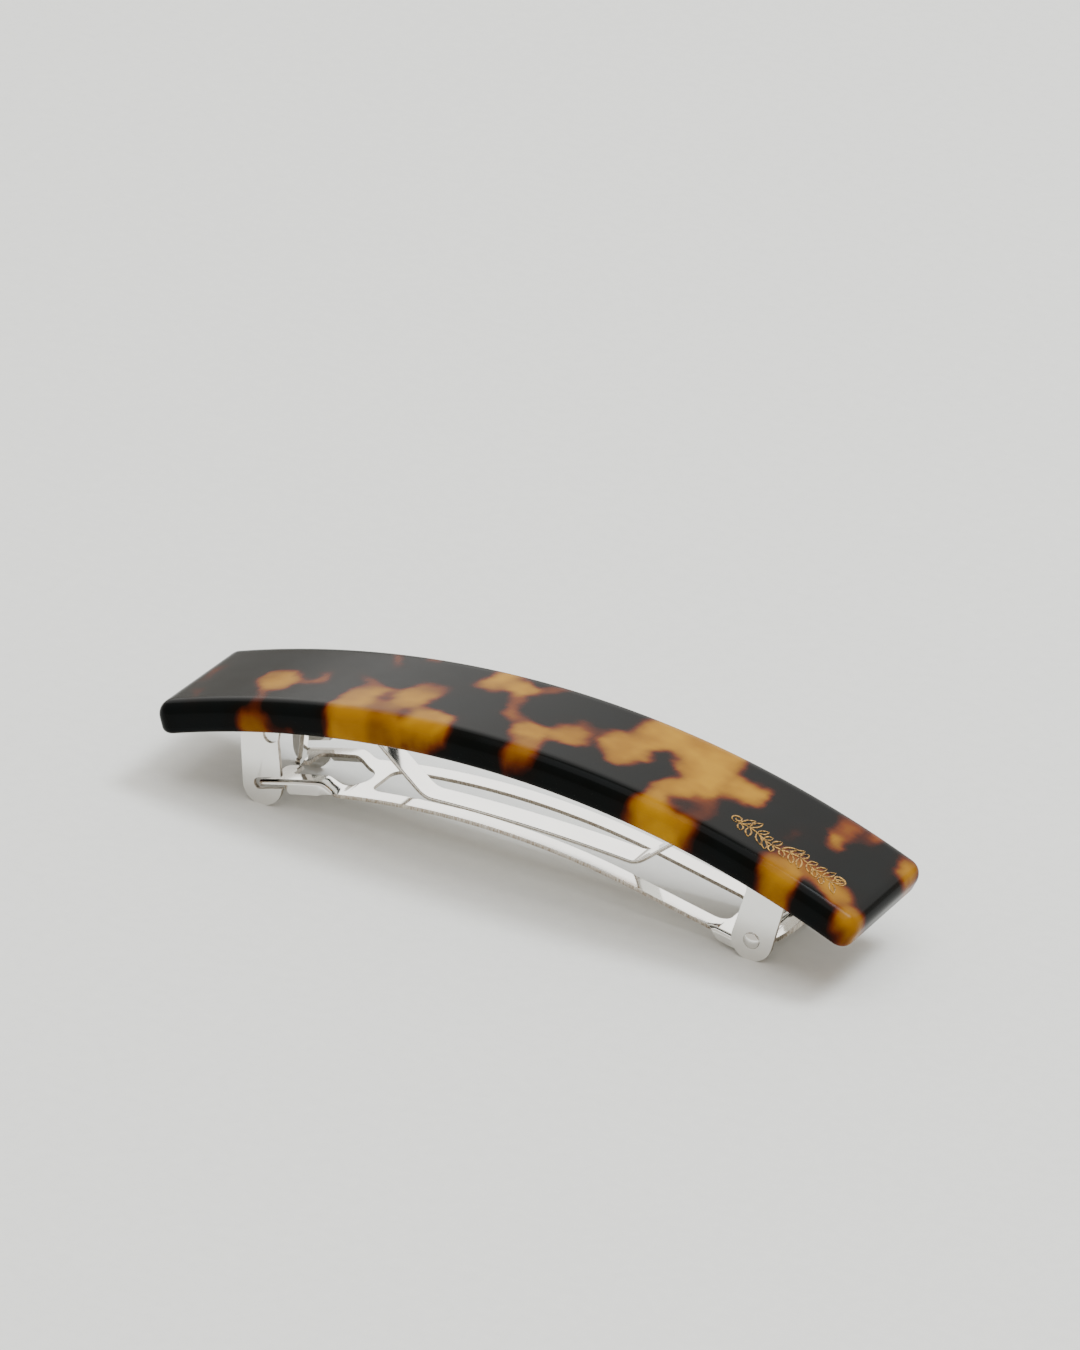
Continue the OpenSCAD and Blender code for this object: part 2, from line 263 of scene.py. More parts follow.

# %% [markdown]
# Every mesh here ends the same way: millimetres become metres, and the faces are shaded smooth. Most
# pieces are then handed to the body that carries them. Where flat faces meet round edges, normals weighted
# by area keep the flats looking flat.

# %% From mesh to piece
def make_piece(name, mesh_work, materials, keep_flats=True):
    """Ends mesh_work, in millimetres, as an object in metres."""
    bmesh.ops.recalc_face_normals(mesh_work, faces=mesh_work.faces)
    bmesh.ops.scale(mesh_work, vec=(MM, MM, MM), verts=mesh_work.verts)
    for face in mesh_work.faces:
        face.smooth = True
    mesh = bpy.data.meshes.new(name)
    mesh_work.to_mesh(mesh)
    mesh_work.free()
    for material in materials:
        mesh.materials.append(material)
    piece = bpy.data.objects.new(name, mesh)
    bpy.context.scene.collection.objects.link(piece)
    if keep_flats:
        weights = piece.modifiers.new("flats", "WEIGHTED_NORMAL")
        weights.weight = 80
        weights.keep_sharp = True
    print(name, len(mesh.polygons), "faces")
    return piece


def circle_points(x, y, radius, start=0, end=360, steps=24):
    """Points round a circle, from start to end degrees."""
    angles = [math.radians(start + (end - start) * i / steps) for i in range(steps + 1)]
    points = [(x + radius * math.cos(a), y + radius * math.sin(a)) for a in angles]
    return points[:-1] if abs(end - start) == 360 else points


# %% [markdown]
# The bar is a flat strip with all its edges rounded, bent along one arc. A bevel on a box would do, but its
# corners pinch. Instead two grids, top and underside, get lines that crowd towards the rim, and each point
# sinks by how near the rim it is. In a corner the square cells are pressed into a quarter disc.

# %% The bar's shape
bar_w = 17.2
bar_t = 3.4
bar_r = 107.6
rim = 1.6               # width of the rounded rim, and the corners' radius
bar_len = 80.6
bar_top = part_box("acetate_bar")[1].z / MM
bar_centre = bar_top - bar_r
low_rim = 0.8           # rounding of the underside's rim
rim_lines = 8
wall_rings = 5
cell = 0.4


def grid_lines(half):
    """Places of the grid's lines from -half to half, crowded over the rim."""
    steps = [rim * (1 - math.sin(math.pi / 2 * i / rim_lines)) for i in range(rim_lines, 0, -1)]
    inner = half - rim
    count = round(2 * inner / cell)
    middle = [-inner + 2 * inner * i / count for i in range(count + 1)]
    return [-half + s for s in steps] + middle + [half - s for s in reversed(steps)]


def rim_drop(inset, radius):
    """How far a round edge has fallen at this distance from the rim."""
    reach = max(0.0, radius - inset)
    return radius - math.sqrt(max(0.0, radius * radius - reach * reach))


def on_bar(along, across, depth):
    """A place on or in the bent bar."""
    turn = along / bar_r
    radius = bar_r - depth
    return Vector((radius * math.sin(turn), across, bar_centre + radius * math.cos(turn)))


def bar_point(along, across):
    """The flat strip's outline: place along and across, and distance from the rim."""
    a = max(0.0, (abs(along) - bar_len / 2 + rim) / rim)
    b = max(0.0, (abs(across) - bar_w / 2 + rim) / rim)
    near = max(a, b)
    if a > 0 and b > 0:
        size = math.hypot(a, b)
        along = math.copysign(bar_len / 2 - rim + rim * near * a / size, along)
        across = math.copysign(bar_w / 2 - rim + rim * near * b / size, across)
    return along, across, rim * (1 - near)


print("bar", bar_len, "x", bar_w, "x", bar_t, "mm, top at", round(bar_top, 2))

# %% [markdown]
# The chips' pattern is drawn as soft dabs, the way one would stamp it with a sponge: amber dabs that
# merge, and dark ones on top of them. Each is its place along and across the bar, its half-sizes, its
# lean and its strength; a weak dab stays brown. Adding them up as chances, 1 - (1 - a)(1 - b), lets
# neighbours run together without a seam, and a slow noise moves each place so that no outline stays clean.

# %% The tortoiseshell pattern
amber_dabs = [
    # the catch end
    (-29.4, -1.4, 1.7, 2.0, 0, 0.80), (-28.3, -2.8, 1.6, 2.1, 0, 0.86), (-28.8, -6.2, 0.6, 1.9, 14, 0.46),
    (-24.5, -0.4, 0.7, 1.4, 10, 0.55), (-25.6, -1.8, 1.3, 0.45, 0, 0.45), (-38.0, 0.6, 0.5, 1.8, 0, 0.45),
    (-36.6, -5.6, 0.8, 1.8, 20, 0.28), (-28.8, -10.0, 1.4, 1.1, 0, 0.70), (-25.6, -11.0, 1.4, 1.0, 0, 0.55),
    (-19.4, 6.0, 0.55, 1.7, 25, 0.50), (-15.9, 7.6, 0.7, 1.1, 0, 0.48), (-19.0, -0.6, 2.1, 0.6, -40, 0.42),
    # left of the middle
    (-18.3, -5.4, 1.9, 3.2, 0, 1.0), (-17.6, -9.2, 2.6, 2.0, 0, 1.0), (-16.4, -2.3, 1.2, 0.7, 0, 0.52),
    (-13.2, -3.0, 1.9, 2.5, 0, 0.95), (-12.6, 0.0, 1.8, 1.4, 0, 0.52), (-14.9, -6.8, 2.2, 2.3, 0, 0.50),
    (-9.3, -7.0, 2.5, 2.3, 0, 1.0), (-11.4, -8.6, 2.4, 1.2, 0, 0.9), (-15.0, -10.4, 2.0, 1.0, 0, 0.8),
    # the middle
    (-7.5, 6.0, 1.4, 2.6, -8, 1.0), (-4.9, 4.7, 1.6, 1.5, -30, 1.0), (-8.0, 3.6, 0.8, 0.8, 0, 0.8),
    (-3.7, 1.0, 0.7, 2.3, 14, 0.52), (-2.4, -1.6, 1.3, 0.9, -30, 0.44), (-1.9, 6.2, 0.6, 1.7, -40, 0.46),
    (0.3, -3.6, 1.7, 1.6, 0, 0.90), (1.2, -7.0, 1.7, 2.4, 8, 0.62), (3.9, -1.7, 1.9, 2.0, 20, 0.78),
    (4.2, 1.1, 1.6, 0.8, 0, 0.34), (2.2, -3.0, 1.0, 0.9, 0, 0.7),
    # the large patch
    (12.4, 5.2, 4.1, 3.4, 0, 1.0), (16.6, 5.2, 3.2, 3.6, 0, 1.0), (9.6, 0.6, 3.0, 2.4, 0, 1.0),
    (9.5, -2.2, 1.5, 1.7, 45, 0.95), (17.2, 0.4, 2.7, 2.6, 0, 1.0), (16.4, -3.0, 1.9, 1.8, 0, 1.0),
    (21.8, 1.8, 2.1, 2.3, 10, 0.95), (22.8, 3.5, 0.9, 1.1, 0, 0.8), (15.9, -6.4, 1.2, 2.6, 0, 1.0),
    (17.6, -9.4, 3.2, 1.8, 0, 1.0), (19.2, -1.2, 1.4, 1.3, 40, 0.9), (19.4, -5.0, 2.3, 2.6, 0, 0.36),
    # the hinge end
    (31.9, 5.6, 1.3, 2.0, 0, 0.50), (32.2, 2.2, 0.9, 1.2, 0, 0.85), (34.4, 6.9, 0.7, 1.4, 0, 0.52),
    (39.3, 5.4, 1.1, 1.9, 12, 0.92), (28.8, -0.8, 0.9, 2.2, -12, 0.20), (30.6, -7.6, 2.0, 2.0, 12, 0.88),
    (30.4, -5.0, 1.9, 1.5, 0, 0.50), (34.6, -5.0, 2.4, 1.4, -8, 0.66), (36.2, -5.8, 1.5, 1.2, 0, 0.80),
    (39.2, -7.6, 1.5, 1.8, 0, 0.90), (31.4, -10.4, 1.2, 1.0, 0, 0.8)]
dark_dabs = [
    (12.7, 1.2, 0.8, 1.6, -20, 0.72), (13.8, -1.0, 1.5, 1.3, -25, 0.78), (15.1, -1.6, 0.9, 0.9, 0, 0.66),
    (13.2, -4.0, 1.3, 2.2, 0, 0.9), (18.4, -5.7, 1.5, 1.2, 0, 0.55),
    (21.4, 6.4, 1.5, 2.4, 0, 0.8)]
bleed = 0.31            # how far the two colours bleed into each other
dab_square = 3          # 2 makes round dabs, and more makes them squarer
slant = 0.45            # how far the pattern shifts across for each millimetre of depth
elsewhere = Vector((37.1, 11.9, 5.3))   # a part of the noise that has nothing to do with the first


def dab_cover(dab, along, across):
    """How much a dab covers this place, from 0 to its strength."""
    centre_x, centre_y, half_long, half_wide, lean, strength = dab
    turn = math.radians(lean)
    x, y = along - centre_x, across - centre_y
    u = (x * math.cos(turn) + y * math.sin(turn)) / half_long
    v = (y * math.cos(turn) - x * math.sin(turn)) / half_wide
    reach = (abs(u) ** dab_square + abs(v) ** dab_square) ** (1 / dab_square)
    outside = (reach - 1) * min(half_long, half_wide)
    return strength / (1 + math.exp(max(-30, min(30, outside / bleed))))


def wander(spot):
    """Up to 0.8 mm either way, the same in each run; noise_vector takes a new seed when Blender starts."""
    return 0.55 * noise.noise(spot) + 0.25 * noise.noise(spot * 2.7)


def cloud_at(along, across, depth):
    """Amber is 1 and dark is 0. The sheet's layers slant a little with depth."""
    spot = Vector((along * 0.5, across * 0.5, depth * 0.3))
    x = along + wander(spot)
    y = across + wander(spot + elsewhere) - slant * depth
    clear = 1.0
    for dab in amber_dabs:
        clear *= 1 - dab_cover(dab, x, y)
    cover = 1 - clear
    for dab in dark_dabs:
        cover *= 1 - dab_cover(dab, x, y)
    return cover


print(len(amber_dabs), "amber dabs and", len(dark_dabs), "dark ones")

# %% [markdown]
# Now the two grids and the wall between them become one closed mesh, and each point takes its number from
# the pattern. The numbers sit on points less than half a millimetre apart, and the shader sharpens them.

# %% The bar
def bar_mesh():
    """The closed mesh and the pattern's number for each of its points."""
    work = bmesh.new()
    clouds = []
    columns, rows = grid_lines(bar_len / 2), grid_lines(bar_w / 2)

    def add(along, across, depth):
        clouds.append(cloud_at(along, across, depth))
        return work.verts.new(on_bar(along, across, depth))

    def sheet(depth_at):
        return [[add(u, v, depth_at(e)) for u, v, e in (bar_point(x, y) for y in rows)] for x in columns]

    top = sheet(lambda e: rim_drop(e, rim))
    low = sheet(lambda e: bar_t - rim_drop(e, low_rim))
    for grid in (top, low):
        for i in range(len(columns) - 1):
            for j in range(len(rows) - 1):
                work.faces.new((grid[i][j], grid[i + 1][j], grid[i + 1][j + 1], grid[i][j + 1]))
    last_i, last_j = len(columns) - 1, len(rows) - 1
    ring = ([(i, 0) for i in range(last_i)] + [(last_i, j) for j in range(last_j)]
            + [(i, last_j) for i in range(last_i, 0, -1)] + [(0, j) for j in range(last_j, 0, -1)])
    levels = [[top[i][j] for i, j in ring]]
    for depth in (rim + (bar_t - rim - low_rim) * k / wall_rings for k in range(1, wall_rings)):
        levels.append([add(*bar_point(columns[i], rows[j])[:2], depth) for i, j in ring])
    levels.append([low[i][j] for i, j in ring])
    for upper, lower in zip(levels, levels[1:]):
        for k in range(len(ring)):
            n = (k + 1) % len(ring)
            work.faces.new((upper[k], upper[n], lower[n], lower[k]))
    return work, clouds


bar_work, bar_clouds = bar_mesh()
tortoise_bar = make_piece("tortoise_bar", bar_work, [acetate], keep_flats=False)
cloud_layer = tortoise_bar.data.attributes.new("cloud", "FLOAT", "POINT")
cloud_layer.data.foreach_set("value", bar_clouds)
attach(tortoise_bar, "clip_base")
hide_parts("acetate_bar")
print("amber share", round(sum(c > 0.5 for c in bar_clouds) / len(bar_clouds), 2))

# %% [markdown]
# The bar carries a small ornament in gold foil, pressed on with a hot die. Here it is a plain leafy sprig:
# a wavy stem, with leaves drawn as two thin strokes each, and a curl at both ends. Every stroke is a ribbon
# whose width swells and fades, laid on the bent bar and a few hundredths thick, so it catches the light.

# %% The foil sprig
sprig_start, sprig_end = 23.6, 35.4
sprig_y = -4.2
foil_up, foil_down = -0.035, 0.03


def foil_finish():
    finish = Finish("worn_gold_foil")
    wear = mottle(finish, 0.22, detail=3)
    colour = colours_along(wear, (0.38, (0.05, 0.022, 0.004)), (0.54, (0.34, 0.19, 0.045)),
                           (0.8, (0.50, 0.31, 0.09)))
    return finish.set(Base_Color=colour, Metallic=0.9, Roughness=0.35 + 0.3 * wear)


def stem_y(along):
    return sprig_y + 0.4 * math.sin((along - sprig_start) * 1.05)


def swell(t, width):
    """Width of a pen stroke: fine at both ends."""
    return width * (0.25 + 0.75 * math.sin(math.pi * t))


def ribbon(work, path, width):
    """Lays a stroke along (along, across) points on the bar's top."""
    rings = []
    for i, here in enumerate(path):
        way = (Vector(path[min(i + 1, len(path) - 1)]) - Vector(path[max(i - 1, 0)])).normalized()
        half = swell(i / (len(path) - 1), width) / 2
        sides = [(here[0] - k * way.y * half, here[1] + k * way.x * half) for k in (1, -1)]
        rings.append([work.verts.new(on_bar(*sides[k], d))
                      for k, d in ((0, foil_up), (1, foil_up), (1, foil_down), (0, foil_down))])
    for a, b in zip(rings, rings[1:]):
        for k in range(4):
            n = (k + 1) % 4
            work.faces.new((a[k], b[k], b[n], a[n]))
    work.faces.new(rings[0])
    work.faces.new(reversed(rings[-1]))


def leaf_side(along, lean, length, bulge):
    """One of a leaf's two strokes, from the stem to the leaf's tip."""
    turn = math.radians(lean)
    points = []
    for i in range(9):
        t = i / 8
        u, v = length * t, bulge * math.sin(math.pi * t)
        points.append((along + u * math.cos(turn) - v * math.sin(turn),
                       stem_y(along) + u * math.sin(turn) + v * math.cos(turn)))
    return points


def curl_path(along, size, facing):
    """A spiral that leaves the stem's end."""
    fade = 10.5         # the turn, in radians, at which it would have shrunk to nothing
    turns = [2.6 * math.pi * i / 26 for i in range(27)]
    return [(along + facing * size * (1 - t / fade) * math.sin(t),
             stem_y(along) + size * (1 - (1 - t / fade) * math.cos(t))) for t in turns]


foil_work = bmesh.new()
stem_steps = 60
stem = [sprig_start + (sprig_end - sprig_start) * i / stem_steps for i in range(stem_steps + 1)]
ribbon(foil_work, [(u, stem_y(u)) for u in stem], 0.22)
leaf_count = 12
for i in range(leaf_count):
    foot = sprig_start + (sprig_end - sprig_start) * (i + 0.5) / leaf_count
    for up in (1, -1):
        lean = up * (62 + 9 * math.sin(2.1 * i))
        length = 1.65 + 0.45 * math.sin(1.3 * i + up)
        for bulge in (0.3, -0.3):
            ribbon(foil_work, leaf_side(foot, lean, length, bulge), 0.19)
ribbon(foil_work, curl_path(sprig_end, 0.85, 1), 0.24)
ribbon(foil_work, curl_path(sprig_start, 0.7, -1), 0.24)
foil_sprig = make_piece("foil_sprig", foil_work, [foil_finish()], keep_flats=False)
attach(foil_sprig, "clip_base")

# %% [markdown]
# All the steel is strip: a blank is stamped flat, and then bent. So each piece starts as a flat outline
# with its holes, is sliced across where it will bend, and every point is sent through one function that
# knows the bends. Asking that function for both faces gives the thickness exactly, even inside a fold,
# which a thickness modifier can't promise.

# %% Stamped sheet
def stamp(outline, holes, slices_along, slices_across):
    """A flat blank: an outline with holes, sliced where it will bend."""
    work = bmesh.new()
    for loop in (outline, *holes):
        points = [work.verts.new((x, y, 0)) for x, y in loop]
        for a, b in zip(points, points[1:] + points[:1]):
            work.edges.new((a, b))
    bmesh.ops.triangle_fill(work, use_dissolve=True, use_beauty=True, edges=work.edges)
    for axis, places in ((Vector((1, 0, 0)), slices_along), (Vector((0, 1, 0)), slices_across)):
        for place in places:
            everything = work.verts[:] + work.edges[:] + work.faces[:]
            bmesh.ops.bisect_plane(work, geom=everything, plane_co=axis * place, plane_no=axis, dist=1e-4)
    return work


def press(work, bend, round_edge=0.12, open_end=None, upright=False):
    """Bends a blank with bend(along, across, depth) and gives it both faces.

    open_end says, for a flat place, whether it lies on an end that another piece carries on from."""
    flat = [(v.co.x, v.co.y) for v in work.verts]
    work.verts.index_update()
    place = bend.hanging if upright else bend
    lower = [work.verts.new(place(x, y, bend.thickness)) for x, y in flat]
    upper = work.verts[:len(flat)]
    rims = [e for e in work.edges if len(e.link_faces) == 1]
    faces = work.faces[:]
    for face in faces:
        work.faces.new([lower[v.index] for v in reversed(face.verts)])
    sharp = []
    for edge in rims:
        a, b = edge.verts
        open_here = open_end is not None and all(open_end(*flat[v.index]) for v in (a, b))
        side = work.faces.new((a, b, lower[b.index], lower[a.index]))
        side.material_index = 1
        if open_here:
            for rim_edge in side.edges:
                rim_edge.smooth = False
        else:
            sharp += [edge, work.edges.get((lower[a.index], lower[b.index]))]
    for point, (x, y) in zip(upper, flat):
        point.co = place(x, y, 0)
    bmesh.ops.recalc_face_normals(work, faces=work.faces)
    bmesh.ops.bevel(work, geom=sharp, offset=round_edge, segments=3, profile=0.5, affect="EDGES",
                    clamp_overlap=True, material=0)
    return work


def spread(start, end, step):
    """Places from start to end, about step apart."""
    count = max(1, round((end - start) / step))
    return [start + (end - start) * i / count for i in range(count + 1)]


print("stamping tools ready")

# %% [markdown]
# A bend is a small object: the side view of the strip, its thickness, and the lines along which its long
# edges fold down. The side view is any function from a distance along the blank to a place in X and Z.
# Its direction is measured a hair's breadth to either side, so that arcs, ramps and curls all work alike.

# %% Bends
def arc_height(x, radius, crown_x, crown_z):
    return crown_z - radius + math.sqrt(radius * radius - (x - crown_x) ** 2)


def ease(t):
    """0 before 0, 1 after 1, and a smooth turn between."""
    t = max(0.0, min(1.0, t))
    return t * t * (3 - 2 * t)


def unfolded(face, radius, drop):
    """How far out on the flat blank an edge lies that will hang down by drop inside a standing face."""
    return face - radius + radius * math.pi / 2 + drop - radius


class Bend:
    """Where a flat place on the blank ends up.

    side_view(along) gives (x, z) of the upper face. Beyond fold_at from the middle the sheet turns down
    with outer radius fold_r, wherever folded(along) is 1."""

    def __init__(self, side_view, thickness, fold_at=None, fold_r=0, folded=lambda along: 1):
        self.side_view = side_view
        self.thickness = thickness
        self.fold_at = fold_at
        self.fold_r = fold_r
        self.folded = folded

    def fold(self, across, depth):
        """Sideways place and drop of a point, once the edge is folded."""
        over = abs(across) - self.fold_at
        if over <= 0:
            return across, depth
        turn = min(over / self.fold_r, math.pi / 2)
        straight = max(0.0, over - self.fold_r * math.pi / 2)
        radius = self.fold_r - depth
        out = self.fold_at + radius * math.sin(turn)
        return math.copysign(out, across), self.fold_r - radius * math.cos(turn) + straight

    def __call__(self, along, across, depth):
        reach = 0.03
        ahead = Vector(self.side_view(along + reach))
        behind = Vector(self.side_view(along - reach))
        x, z = self.side_view(along)
        way = (ahead - behind).normalized()
        y, drop = across, depth
        if self.fold_at is not None:
            share = self.folded(along)
            folded_y, folded_drop = self.fold(across, depth)
            y, drop = y + share * (folded_y - y), drop + share * (folded_drop - drop)
        return Vector((x + drop * way.y, y, z - drop * way.x))

    def hanging(self, along, across, depth):
        """The same, but what is folded down hangs straight down, whatever the strip's slope."""
        placed = self(along, across, depth)
        share = self.folded(along) * ease((abs(across) - self.fold_at) / (self.fold_r * math.pi / 2))
        x, z = self.side_view(along)
        return placed.lerp(Vector((x, placed.y, z - self.fold(across, depth)[1])), share)


print("bends ready")

# %% [markdown]
# The frame says where the clip's working points are: the hinge joint gives the pin, and the boxes of the
# plate and the arm give widths. The rest are the clip maker's own sizes, named once.

# %% The clip's main sizes
joints = {joint["name"]: joint for joint in frame["joints"]}
pin_x, _, pin_z = (c / MM for c in joints["clasp_hinge"]["pos_m"])
root_x, _, root_z = (c / MM for c in joints["rear_finger_flex"]["pos_m"])
clip_span = 54.8        # from the pin to the middle of the catch
catch_x = pin_x - clip_span
ear_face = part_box("base_plate")[1].y / MM
snug = 0.03             # gap between parts that lie together
plate_t = 0.5
plate_r = bar_r - bar_t - snug          # the plate lies against the bar's underside
under_r = plate_r - plate_t - snug      # arc of what lies against the plate's underside
arm_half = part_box("clasp_arm")[1].y / MM
arm_t = 0.4
rail_w = 2.0
rail_in = arm_half - rail_w
arm_r = 86.5            # the clasp's arc, and the top of it
arm_crown_x = -2.04
arm_crown_z = 5.06
finger_step = 1.13      # the catch fingers lie this much higher
print("pin at", round(pin_x, 2), "catch at", round(catch_x, 2), "ears out to", round(ear_face, 2))

# %% [markdown]
# The base plate is one stamping: a strip that hugs the bar, with four ears folded down from its edges. The
# blank is drawn on one side only and mirrored. Each ear's outline is drawn standing, as it will be seen,
# and laid flat again by adding the length that the fold takes up.

# %% The base plate's bend
fold_r = 0.9
fold_take = fold_r * (math.pi / 2 - 2)  # a folded edge's length, less its width and its drop


def plate_side(along):
    turn = along / plate_r
    return plate_r * math.sin(turn), bar_centre + plate_r * math.cos(turn)


def plate_along(x):
    return plate_r * math.asin(x / plate_r)


plate_bend = Bend(plate_side, plate_t, fold_at=ear_face - fold_r, fold_r=fold_r)


def hang(x, z, side):
    """Where a standing ear's point lies on the flat blank."""
    drop = math.sqrt(plate_r * plate_r - x * x) + bar_centre - z
    return plate_along(x), side * (ear_face + fold_take + drop)


print("each fold saves", round(-fold_take, 2), "mm of blank")

# %% [markdown]
# An ear narrows into a round foot. The hinge ears have a hole for the pin. The catch ears have a slot that
# is open on the inner side, where the arm's lug springs in, and a round relief under the plate that stops
# the fold from tearing there.

# %% The ears' outlines
foot_r = 2.2
ear_top_half = 2.1
ear_top_z = 7.0
ear_lean = 10


def standing_ear(x, lean):
    """Points of an ear from its upper left, round the foot, to its upper right."""
    turn = math.radians(lean)
    rise = ear_top_z - pin_z
    outline = [(-ear_top_half, rise)]
    outline += circle_points(0, 0, foot_r, 180, 360, 20)
    outline += [(ear_top_half, rise)]
    placed = []
    for u, v in outline:
        px = x + u * math.cos(turn) - v * math.sin(turn)
        pz = pin_z + u * math.sin(turn) + v * math.cos(turn)
        placed.append((px, max(0.0, pz)))
    return placed


slot_half = 0.62
slot_x = catch_x - 0.35
slot_rise = math.radians(17.4)
slot_z = 2.17


def cut_slot(outline):
    """Lets a slot into an ear's right edge, which runs up at the outline's end."""
    foot, top = outline[-2], outline[-1]

    def edge_x(z):
        return foot[0] + (top[0] - foot[0]) * (z - foot[1]) / (top[1] - foot[1])

    end = circle_points(slot_x, slot_z, slot_half, 270 + math.degrees(slot_rise),
                        90 + math.degrees(slot_rise), 10)
    lower_end, upper_end = end[0], end[-1]
    mouths = []
    for x, z in (lower_end, upper_end):
        mouth_z = z
        for _ in range(4):
            mouth_z = z + math.tan(slot_rise) * (edge_x(mouth_z) - x)
        mouths.append((edge_x(mouth_z), mouth_z))
    inside = [p for p in outline[:-1] if not (p[0] > slot_x and p[1] > mouths[0][1])]
    return inside + [mouths[0]] + end + [mouths[1], top]


catch_ear = cut_slot(standing_ear(catch_x, ear_lean))
hinge_ear = standing_ear(pin_x, -ear_lean)
print("catch ear", len(catch_ear), "points, hinge ear", len(hinge_ear))

# %% [markdown]
# One side of the blank runs from the catch end to the hinge end along the plate's edge, out round each ear
# and back. The other side is the same walked backwards. A strip cut in the middle leaves the tongue that
# becomes the stop post.

# %% The base plate
plate_half = 4.4
plate_over = 4.1
end_round = 0.6
tab_flare = 0.2
tab_edge = 4.9          # where an ear's tab leaves the plate's own edge


def blank_side():
    """The +Y edge of the blank, from the catch end to the hinge end."""
    left, right = plate_along(catch_x - plate_over), plate_along(pin_x + plate_over)
    side = circle_points(left + end_round, plate_half - end_round, end_round, 180, 90, 8)
    for ear in (catch_ear, hinge_ear):
        flat = [hang(x, z, 1) for x, z in ear]
        u0, u1 = flat[0][0], flat[-1][0]
        side += [(u0 - tab_flare, plate_half), (u0 - tab_flare, tab_edge)] + flat
        side += [(u1 + tab_flare, tab_edge), (u1 + tab_flare, plate_half)]
    side += circle_points(right - end_round, plate_half - end_round, end_round, 90, 0, 8)
    return side


def mirrored(points):
    return [(x, -y) for x, y in reversed(points)]


stud_places = [catch_x + 3.2, pin_x - 3.7]
stud_r = 0.9
relief_x, relief_z, relief_r = catch_x + 0.35, 7.75, 0.85
pin_hole_r = 0.63
relief_hole = [hang(x, z, 1) for x, z in circle_points(relief_x, relief_z, relief_r, steps=20)]
pin_hole = [hang(x, z, 1) for x, z in circle_points(pin_x, pin_z, pin_hole_r, steps=20)]
tongue_side = [(-26.6, 0.6), (-29.6, 0.6), (-29.6, 1.3), (-30.9, 1.3)]      # cut round the stop post's blank
plate_holes = [relief_hole, mirrored(relief_hole), pin_hole, mirrored(pin_hole)]
plate_holes += [mirrored(tongue_side) + tongue_side]
plate_holes += [circle_points(plate_along(x), 0, stud_r + snug) for x in stud_places]
plate_edge = blank_side()
fold_lines = [plate_bend.fold_at + fold_r * math.pi / 2 * i / 6 for i in range(7)]
plate_work = stamp(plate_edge + mirrored(plate_edge), plate_holes, spread(-31, 31, 1.0),
                   fold_lines + [-f for f in fold_lines])
press(plate_work, plate_bend, round_edge=0.14, upright=True)
clip_plate = make_piece("clip_plate", plate_work, [nickel, torn_edge])
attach(clip_plate, "clip_base")
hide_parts("base_plate")

# %% [markdown]
# The stop post is the tongue from that window, bent straight down between the catch ears. Its wide foot
# stands just above the fingers and keeps them level. Its bend is a quarter circle between two straights.

# %% The stop post
stop_x = catch_x + 1.5
stop_root_x = stop_x + 1.0
stop_gap = 0.2          # between the foot and the fingers
stop_foot_z = arc_height(stop_x, arm_r, arm_crown_x, arm_crown_z + finger_step) + stop_gap
stop_r = 0.8
foot_h = 0.6


def stop_side(along):
    """From the plate, round the bend, and straight down; along runs towards the foot."""
    top = plate_side(plate_along(stop_root_x))[1] - plate_t
    if along < 0:
        # Known fault: this should be stop_root_x - along. It skews the root's end, inside the plate.
        return stop_root_x + along, top
    turn = min(along / stop_r, math.pi / 2)
    down = max(0.0, along - stop_r * math.pi / 2)
    return stop_root_x - stop_r * math.sin(turn), top - stop_r * (1 - math.cos(turn)) - down


stop_bend = Bend(stop_side, plate_t)
stop_len = stop_side(0)[1] - stop_r - stop_foot_z + stop_r * math.pi / 2
stop_edge = [(stop_len, 0.85), (stop_len - foot_h, 0.85), (stop_len - foot_h, 0.5), (0.0, 0.5)]
stop_blank = stamp(mirrored(stop_edge) + stop_edge, [], spread(0, stop_r * math.pi / 2, 0.2), [])
stop_work = press(stop_blank, stop_bend)
stop_post = make_piece("stop_post", stop_work, [nickel, torn_edge])
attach(stop_post, "clip_base")

# %% [markdown]
# The clasp is the second stamping. Seen from above it is two rails round a long window, a keyhole, and a
# tongue of web that curls up behind the pin into the tail. Seen from the side it is one arc, a straight,
# and the curl. The catch fingers step up from the rails, and are pieces of their own.

# %% The clasp's side view
bend_x = pin_x - 12.8
web_x = pin_x - 0.3
web_z = pin_z - 0.95
curl_r = 1.5
tail_r = 14.0
tail_len = 4.9
curl_end = math.radians(36)
bend_z = arc_height(bend_x, arm_r, arm_crown_x, arm_crown_z)
curl_start = math.atan2(web_z - bend_z, web_x - bend_x)
curl_len = curl_r * (curl_end - curl_start)
curl_mid = Vector((web_x - curl_r * math.sin(curl_start), web_z + curl_r * math.cos(curl_start)))
tail_mid = curl_mid + (curl_r - tail_r) * Vector((math.sin(curl_end), -math.cos(curl_end)))
step_run = 2.3


def arm_side(along):
    """The clasp from the side. Past the web, along is measured round the curl."""
    if along < bend_x:
        z = arc_height(along, arm_r, arm_crown_x, arm_crown_z)
        return along, z + finger_step * ease((root_x - along) / step_run)
    if along < web_x:
        return along, bend_z + (along - bend_x) * math.tan(curl_start)
    if along < web_x + curl_len:
        turn = curl_start + (along - web_x) / curl_r
        return tuple(curl_mid + curl_r * Vector((math.sin(turn), -math.cos(turn))))
    turn = curl_end + (along - web_x - curl_len) / tail_r
    return tuple(tail_mid + tail_r * Vector((math.sin(turn), -math.cos(turn))))


print("clasp from", round(root_x, 1), "round a curl", round(curl_len, 2), "mm long")

# %% [markdown]
# Just before the pin the rails' outer edges are folded down into short skirts, which stiffen the arm. The
# fold fades in over a millimetre, which gives the little step in the rail's lower edge.

